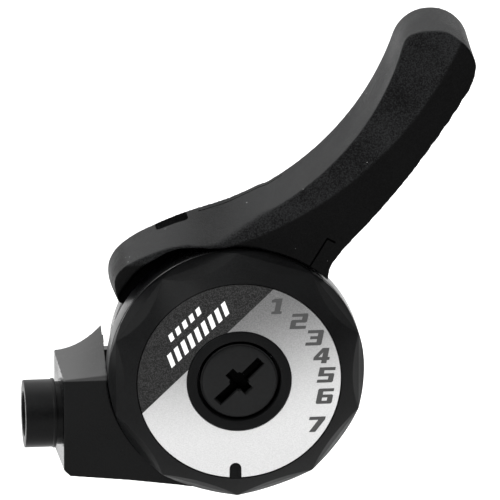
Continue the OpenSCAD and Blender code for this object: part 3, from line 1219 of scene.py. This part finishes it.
    def _hollow(self) -> Work:
        """Makes the tool for the hollow under the hood, which fades out towards the arm.

        Returns:
            The tool.
        """
        rim = [(93, 17.85), (98, 18.0), (105, 18.7), (111, 19.45), (117, 19.95), (123, 20.05), (130, 20.25),
               (138, 19.95), (146, 19.5), (152, 19.0)]
        points = [(reach * cos(radians(turn)), reach * sin(radians(turn))) for turn, reach in rim]
        return Work.dial_plate("hollow", [flowing(points, 5) + [(-14, 6), (-0.9, 12)]], 2.4, self.web - 1)

    def _slot(self) -> Work:
        """Makes the tool for the slot where the wire's end is hooked in. A thin wall closes its back.

        Returns:
            The tool.
        """
        slot = Work("slot", bpy.ops.mesh.primitive_cube_add, size=1, scale=(4.6, 2.5, 6))
        slot.soften(0.6, segments=4)
        move = Matrix.Translation(seen(self.slot_depth)(self.slot_centre))
        slot.item.data.transform(move @ Matrix.Rotation(radians(self.slot_tilt), 4, "Y"))
        return slot

    def _seam(self) -> Work:
        """Makes the tool for the fine seam along the back of the hood's top.

        Returns:
            The tool.
        """
        line = flowing(self.HOOD_FAR[9:], 4) + arc(self.top_centre, self.top_r, -62.3, -57, 6)
        below = [(x, z - 0.35) for x, z in reversed(line)]
        return Work.dial_plate("seam", [[(x, z + 0.7) for x, z in line] + below], 12.3, 12.48)

    def _groove(self) -> list[Point]:
        """Gives the outline of the fine groove on two sides of the pointer bar.

        Returns:
            The points of the outline.
        """
        foot, head, corner = (Vector(point) for point in self.bar_outline[:3])
        along = (head - foot).normalized() * 0.24
        side = Vector((-along.y, along.x))
        points = (foot + side - along * 3, head + side + along, corner + along * 1.2, corner, head,
                  foot - along * 3)
        return [tuple(point) for point in points]


@dataclass
class CableDrum:
    """The drum that winds the cable, with its band behind the dial cap."""

    finishes: Finishes
    band_r: float = field(default_factory=lambda: span("cable_drum")[1].x)
    near: float = field(default_factory=lambda: span("cable_drum")[0].y - FACE_Y)
    far: float = field(default_factory=lambda: span("cable_drum")[1].y - FACE_Y)
    hub_r: float = 8.6
    hub_near: float = 5.42
    groove: float = 10.3
    groove_r: float = 10.3
    half_groove: float = 0.8
    flange_r: float = 14.9
    ball_turns: tuple[float, ...] = (20, 200)
    ball_reach: float = 13.0
    pocket_r: float = 1.45
    pocket_end: float = 8.9
    pin_turns: tuple[float, ...] = (70, 190, 310)
    pin_reach: float = 8.3
    pin_r: float = 0.8

    def build(self) -> bpy.types.Object:
        """Turns the drum and drills it for the detents and the dowels.

        Returns:
            The finished object.
        """
        first, last = self.groove - self.half_groove, self.groove + self.half_groove
        profile = rounded([
            (BUSH_R, self.hub_near), (self.hub_r, self.hub_near), (self.hub_r, self.near),
            (self.band_r, self.near, 0.22), (self.band_r, 8.2, 0.2), (self.flange_r, 8.5),
            (self.flange_r, first, 0.15), (self.groove_r, first, 0.6), (self.groove_r, last, 0.6),
            (self.flange_r, last, 0.15), (self.flange_r, self.far), (BUSH_R, self.far)])
        drum = Work.dial_turned("cable_drum_moulding", profile, 160)
        for turn in self.ball_turns:
            drum.cut(self._drill(self.ball_reach, turn, self.near - 1, self.pocket_end, self.pocket_r))
        for turn in self.pin_turns:
            drum.cut(self._drill(self.pin_reach, turn, 9, self.far + 1, self.pin_r))
        return drum.deliver(Body.LEVER, "drum_plastic", self.finishes.drum, ["cable_drum"])

    @staticmethod
    def _drill(reach: float, turn: float, near: float, far: float, radius: float) -> Work:
        """Makes a drill along the pivot's direction at a radius and an angle."""
        start = seen(near)((reach * cos(radians(turn)), reach * sin(radians(turn))))
        return Work.rod("drill", radius, start, PIVOT_AXIS * (far - near), 40)


@dataclass
class BaseHousing:
    """The fixed moulding with its back plate, cable block and boss."""

    finishes: Finishes
    grid: float = 0.13
    passes: int = 3
    plate_r: float = 16.4
    plate_near: float = 13.8
    plate_far: float = 16.4
    block_left: float = -24.0
    block_right: float = -17.0
    block_near: float = 5.2
    block_far: float = 15.4
    shoulder: float = 3.9
    saddle_r: float = 17.55
    boss_end: float = field(default_factory=lambda: span("base_housing")[0].x)
    boss_r: float = 4.65
    boss_z: float = -7.35
    boss_depth: float = 10.3
    bore_r: float = 3.1
    bore_length: float = 7.6
    wire_r: float = 1.1

    def build(self) -> list[bpy.types.Object]:
        """Joins the plate and the block, bores them, eases the edges and adds the boss.

        Returns:
            The finished objects.
        """
        start = Vector((self.boss_end, FACE_Y + self.boss_depth, self.boss_z))
        block = self._block()
        through = PIVOT_AXIS * (self.plate_near - 2)
        block.cut(Work.rod("saddle", self.saddle_r, seen(2)((0, 0)), through, 160))
        block.cut(Work.rod("bore", self.bore_r, start - BAR_AXIS, BAR_AXIS * (self.bore_length + 1), 64))
        block.cut(Work.rod("wire", self.wire_r, start, BAR_AXIS * 14, 32))
        block.mould(self.grid, self.passes)
        block.apply("DECIMATE", ratio=0.5)
        body = Work.dial_turned("base_housing_moulding", rounded([
            (6.05, self.plate_near), (self.plate_r, self.plate_near),
            (self.plate_r, self.plate_far, 0.5), (6.05, self.plate_far)]), 128)
        body.fuse(block)
        gap = arc((0, 0), self.plate_r + 0.02, 179, 155, 12) + [(-self.saddle_r, 7), (-self.saddle_r, 0.29)]
        body.cut(Work.dial_plate("gap", [gap], self.plate_near - 0.5, self.plate_far + 1))
        body.deliver(Body.BRACKET, "body_plastic", self.finishes.housing, ["base_housing"], 40)
        boss = self._boss(start).deliver(Body.BRACKET, "body_plastic", self.finishes.boss)
        return [body.item, boss]

    def _block(self) -> Work:
        """Makes the cable block, whose top rises in a hollow curve towards its far right corner.

        Returns:
            The piece.
        """
        count, layers = 12, 7
        width = self.block_right - self.block_left
        top = [(self.block_left + width * step / count, -0.95 + 0.55 * step / count)
               for step in range(count + 1)]
        rest = [(-10, -0.4), (-4, -12), (-6, -16.95), (-7.7, -16.65), (-14.6, -15.7), (-23, -14.85),
                (self.block_left, -14)]
        depth = self.block_far - self.block_near
        layer = Vector((0, depth / layers, 0))
        block = Work.plate("block", [top + rest], seen(self.block_near), layer)
        for _ in range(layers - 1):
            with block.editing():
                block.pick(Kind.FACES, lambda face: face.normal.y > 0.99)
                bpy.ops.mesh.extrude_region_move(TRANSFORM_OT_translate={"value": layer})
        for vertex in block.item.data.vertices:
            across = (vertex.co.x - self.block_left) / width
            share = (vertex.co.y - FACE_Y - self.block_near) / depth
            if vertex.co.z > -1 and across < 1.01:
                vertex.co.z += share * (0.95 + (self.shoulder - 0.4) * across**2.2)
            vertex.co.x += max(0.0, 0.5 - across) * (1 - share)
        return block.tidy()

    def _boss(self, start: Vector) -> Work:
        """Turns the boss with its bore, its rounded mouth and the collar at its root.

        Args:
            start: Middle of the boss's open end.

        Returns:
            The piece.
        """
        root = self.block_left - start.x
        collar, neck = self.boss_r + 0.13, self.boss_r - 0.35
        profile = rounded([(self.bore_r, 0, 0.1), (self.boss_r, 0, 0.12), (self.boss_r, root - 0.85, 0.08),
                           (collar, root - 0.75, 0.08), (collar, root - 0.38, 0.08), (neck, root - 0.34),
                           (neck, root + 0.6), (self.bore_r, root + 0.6)])
        return Work.turned("cable_boss", profile, lambda point: start + Vector((point[1], 0, point[0])),
                           BAR_AXIS, start, 96)


@dataclass
class HandlebarClamp:
    """The strap round the handlebar with its bolt, washer and nut."""

    finishes: Finishes
    bar_r: float = 11.1
    strap: float = 1.5
    width: float = field(default_factory=lambda: span("clamp_band")[1].x * 2)
    ear_gap: float = 5.0
    ear_end: float = field(default_factory=lambda: -span("clamp_band")[0].z)
    ear_corner: float = 2.4
    bolt_drop: float = 17.8
    bolt_r: float = 2.5
    head_r: float = 4.25
    head_height: float = 4.0
    socket_r: float = 2.3
    washer_r: float = 4.8
    nut_r: float = 4.62
    nut_chamfer: float = 0.42

    def build(self) -> list[bpy.types.Object]:
        """Makes the strap and its fastening."""
        return [self._band(), self._bolt(), self._washer(), self._nut()]

    def _axis(self, y: float) -> Vector:
        """Gives a point on the bolt's axis."""
        return Vector((0, y, -self.bolt_drop))

    def _turned(self, name: str, profile: Sequence[Point], steps: int = 64) -> Work:
        """Turns a piece on the bolt's axis from points of radius and Y."""
        return Work.turned(name, profile, lambda point: self._axis(point[1]) + BAR_AXIS * point[0],
                           PIVOT_AXIS, self._axis(0), steps)

    def _band(self) -> bpy.types.Object:
        """Bends the strap, drills its ears and rounds its edges.

        Returns:
            The finished object.
        """
        outer, ear = self.bar_r + self.strap, self.ear_gap / 2
        low = degrees((ear + self.strap) / outer)
        slim = degrees(ear / self.bar_r) + 0.4
        profile = [(ear + self.strap, -self.ear_end)] + arc((0, 0), outer, -90 + low, 270 - low, 90)
        profile += [(-ear - self.strap, -self.ear_end), (-ear, -self.ear_end)]
        profile += arc((0, 0), self.bar_r, 270 - slim, -90 + slim, 80) + [(ear, -self.ear_end)]
        half = self.width / 2
        band = Work.plate("handlebar_strap", [profile], lambda point: Vector((-half, *point)),
                          BAR_AXIS * self.width)
        with band.editing():
            band.pick(Kind.EDGES, lambda edge: (
                all(abs(abs(v.co.x) - half) < 0.01 and v.co.z < 0.01 - self.ear_end for v in edge.verts)
                and abs(edge.verts[0].co.x - edge.verts[1].co.x) < 0.01))
            bpy.ops.mesh.bevel(offset=self.ear_corner, segments=5, affect="EDGES")
        band.cut(Work.rod("hole", self.bolt_r + 0.2, self._axis(-10), PIVOT_AXIS * 20))
        band.soften(0.22, 40, 3)
        return band.deliver(Body.BRACKET, "black_steel", self.finishes.strap, ["clamp_band"])

    def _bolt(self) -> bpy.types.Object:
        """Turns the socket-head bolt with its thread and sinks the hexagon socket.

        Returns:
            The finished object.
        """
        head = span("clamp_bolt")[1].y
        seat = head - self.head_height
        end = span("clamp_bolt")[0].y
        profile = rounded([(0, head), (self.head_r, head, 0.35), (self.head_r, seat, 0.15),
                           (self.bolt_r - 0.05, seat)], 3)
        profile += threaded(self.bolt_r, seat - 2, end + 0.5, 0.8, 0.3) + [(1.9, end), (0, end)]
        bolt = self._turned("pinch_bolt", profile)
        bolt.cut(Work("socket", bpy.ops.mesh.primitive_cylinder_add, vertices=6, radius=self.socket_r,
                      depth=5, location=self._axis(head + 0.1), rotation=(radians(90), 0, 0)))
        bolt.soften(0.08, 35, 2)
        return bolt.deliver(Body.BRACKET, "zinc_steel", self.finishes.zinc, ["clamp_bolt"])

    def _washer(self) -> bpy.types.Object:
        """Turns the washer under the bolt's head.

        Returns:
            The finished object.
        """
        low, high = span("clamp_washer")
        hole_r = self.bolt_r + 0.2
        profile = rounded([(hole_r, low.y, 0.1), (self.washer_r, low.y, 0.12),
                           (self.washer_r, high.y, 0.3), (hole_r, high.y, 0.2)], 3)
        washer = self._turned("pinch_washer", profile)
        return washer.deliver(Body.BRACKET, "zinc_steel", self.finishes.zinc, ["clamp_washer"])

    def _nut(self) -> bpy.types.Object:
        """Makes the hexagon nut with chamfered corners.

        Returns:
            The finished object.
        """
        low, high = span("clamp_nut")
        thick = high.y - low.y
        nut = Work("pinch_nut", bpy.ops.mesh.primitive_cylinder_add, vertices=6, radius=self.nut_r,
                   depth=thick, location=self._axis((low.y + high.y) / 2), rotation=(radians(90), 0, 0))
        chamfer = [(0, low.y), (4.0, low.y), (4.75, low.y + self.nut_chamfer),
                   (4.75, high.y - self.nut_chamfer), (4.0, high.y), (0, high.y)]
        nut.combine(self._turned("chamfer", chamfer, 72), "INTERSECT")
        nut.cut(Work.rod("hole", self.bolt_r + 0.01, self._axis(low.y - 1), PIVOT_AXIS * (thick + 2)))
        nut.soften(0.12, 40, 2)
        return nut.deliver(Body.BRACKET, "zinc_steel", self.finishes.zinc, ["clamp_nut"])


@dataclass
class Internals:
    """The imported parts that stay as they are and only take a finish."""

    finishes: Finishes

    def dress(self) -> None:
        """Gives each of them its material."""
        dressed = {
            "axle_stud": self.finishes.stud, "index_plate": self.finishes.spring,
            "screw_washer": self.finishes.zinc, "spring_washer": self.finishes.spring,
            "friction_washer": self.finishes.fibre, "thrust_washer": self.finishes.brass,
            "hub_bush": self.finishes.brass, "drum_pins": self.finishes.stud,
            "detent_balls": self.finishes.ball, "detent_springs": self.finishes.spring,
        }
        for name, finish in dressed.items():
            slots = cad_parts[name].material_slots
            for slot in slots:
                slot.link = "OBJECT"
                slot.material = finish
            LOG.info("%s: dressed in %s", name, finish.name)


@dataclass
class Studio:
    """The camera, the soft light, the floor and the pale surroundings."""

    aim: Vector = field(default_factory=lambda: Vector((0.0, FACE_Y, 0.0)))
    azimuth: float = -5.5
    elevation: float = 19.2
    distance: float = 2.5
    frame_width: float = 68.0
    aside: float = 1.46
    above: float = 17.87
    sensor: float = 36.0
    floor_height: float = -38.0

    def build(self) -> None:
        """Sets up the studio."""
        self._camera()
        self._lights()
        self._floor()
        self._world()
        bpy.context.scene.view_settings.view_transform = "Standard"

    def _camera(self) -> None:
        """Places the camera on the dial's pivot line of sight, aimed a little above the dial."""
        turn, lift = radians(self.azimuth), radians(self.elevation)
        back = Vector((sin(turn) * cos(lift), -cos(turn) * cos(lift), sin(lift)))
        right = Vector((cos(turn), sin(turn), 0))
        up = back.cross(right)
        target = (self.aim + right * self.aside + up * self.above) * MM
        bpy.ops.object.select_all(action="DESELECT")
        bpy.ops.object.camera_add(location=target + back * self.distance)
        camera = bpy.context.active_object
        camera.name = "main_camera"
        camera.rotation_euler = Matrix((right, up, back)).transposed().to_euler()
        camera.data.sensor_width = self.sensor
        camera.data.lens = self.sensor * self.distance / (self.frame_width * MM)
        camera.data.clip_start, camera.data.clip_end = 0.05, 20
        bpy.context.scene.camera = camera

    @staticmethod
    def _light(name: str, place: Vector, size: float, power: float) -> None:
        """Hangs one soft square light that points at the shifter.

        Args:
            name: Name of the light.
            place: Where it hangs, in metres.
            size: Length of its sides, in metres.
            power: Its power, in watts.
        """
        bpy.ops.object.light_add(type="AREA", location=place)
        light = bpy.context.active_object
        light.name = name
        light.rotation_euler = (-place).to_track_quat("-Z", "Y").to_euler()
        light.data.shape = "SQUARE"
        light.data.size = size
        light.data.energy = power

    def _lights(self) -> None:
        """Hangs the lights: a key in front at the upper left, a broad one overhead and one at the left."""
        self._light("key_light", Vector((-1.0, -1.1, 1.2)), 0.5, 17.5)
        self._light("overhead_light", Vector((-0.2, 0.5, 1.3)), 1.0, 6)
        self._light("left_light", Vector((-1.3, 0.1, 0.5)), 0.7, 4.5)

    def _floor(self) -> None:
        """Lays the plain pale floor, low enough for the lever's tip when it is pushed down."""
        bpy.ops.mesh.primitive_plane_add(size=8, location=(0, 0, self.floor_height * MM))
        floor = bpy.context.active_object
        floor.name = "studio_floor"
        graph = Graph.named("pale_floor")
        tint = graph.blend(graph.noise(graph.place(), 400, 1), grey(0.7), grey(0.73))
        floor.data.materials.append(graph.surface(
            Base_Color=tint, Roughness=0.9, Specular_IOR_Level=0.1, Emission_Color=grey(1),
            Emission_Strength=0.08))

    @staticmethod
    def _world() -> None:
        """Surrounds the studio with pale light, brightest overhead and behind, dim on the camera's side."""
        world = bpy.data.worlds.new("studio_world")
        bpy.context.scene.world = world
        graph = Graph(world)
        way = graph.node("ShaderNodeTexCoord", output="Generated")
        deep = graph.node("ShaderNodeSeparateXYZ", None, {0: way}, "Y")
        glow = graph.ramp(deep * 0.4 + deep.other("Z"), -0.15, 0.9, 0.02, 2.6)
        direct = graph.node("ShaderNodeLightPath", output="Is Camera Ray")
        strength = graph.node("ShaderNodeMix", None, {0: direct, 2: glow, 3: 1.0})
        light = graph.node("ShaderNodeBackground", None, {"Strength": strength})
        graph.node("ShaderNodeOutputWorld", None, {"Surface": light})


def main() -> None:
    """Builds the shifter sub-assembly by sub-assembly, then the studio."""
    logging.basicConfig(level=logging.INFO, format="%(name)s: %(message)s", stream=sys.stdout)
    finishes = Finishes.make()
    for part in (HandlebarClamp, BaseHousing, CableDrum, ThumbLever, DialCap, GearLabel, PivotScrew):
        part(finishes).build()
        LOG.info("%s done", part.__name__)
    Internals(finishes).dress()
    Studio().build()


if __name__ == "__main__":
    main()
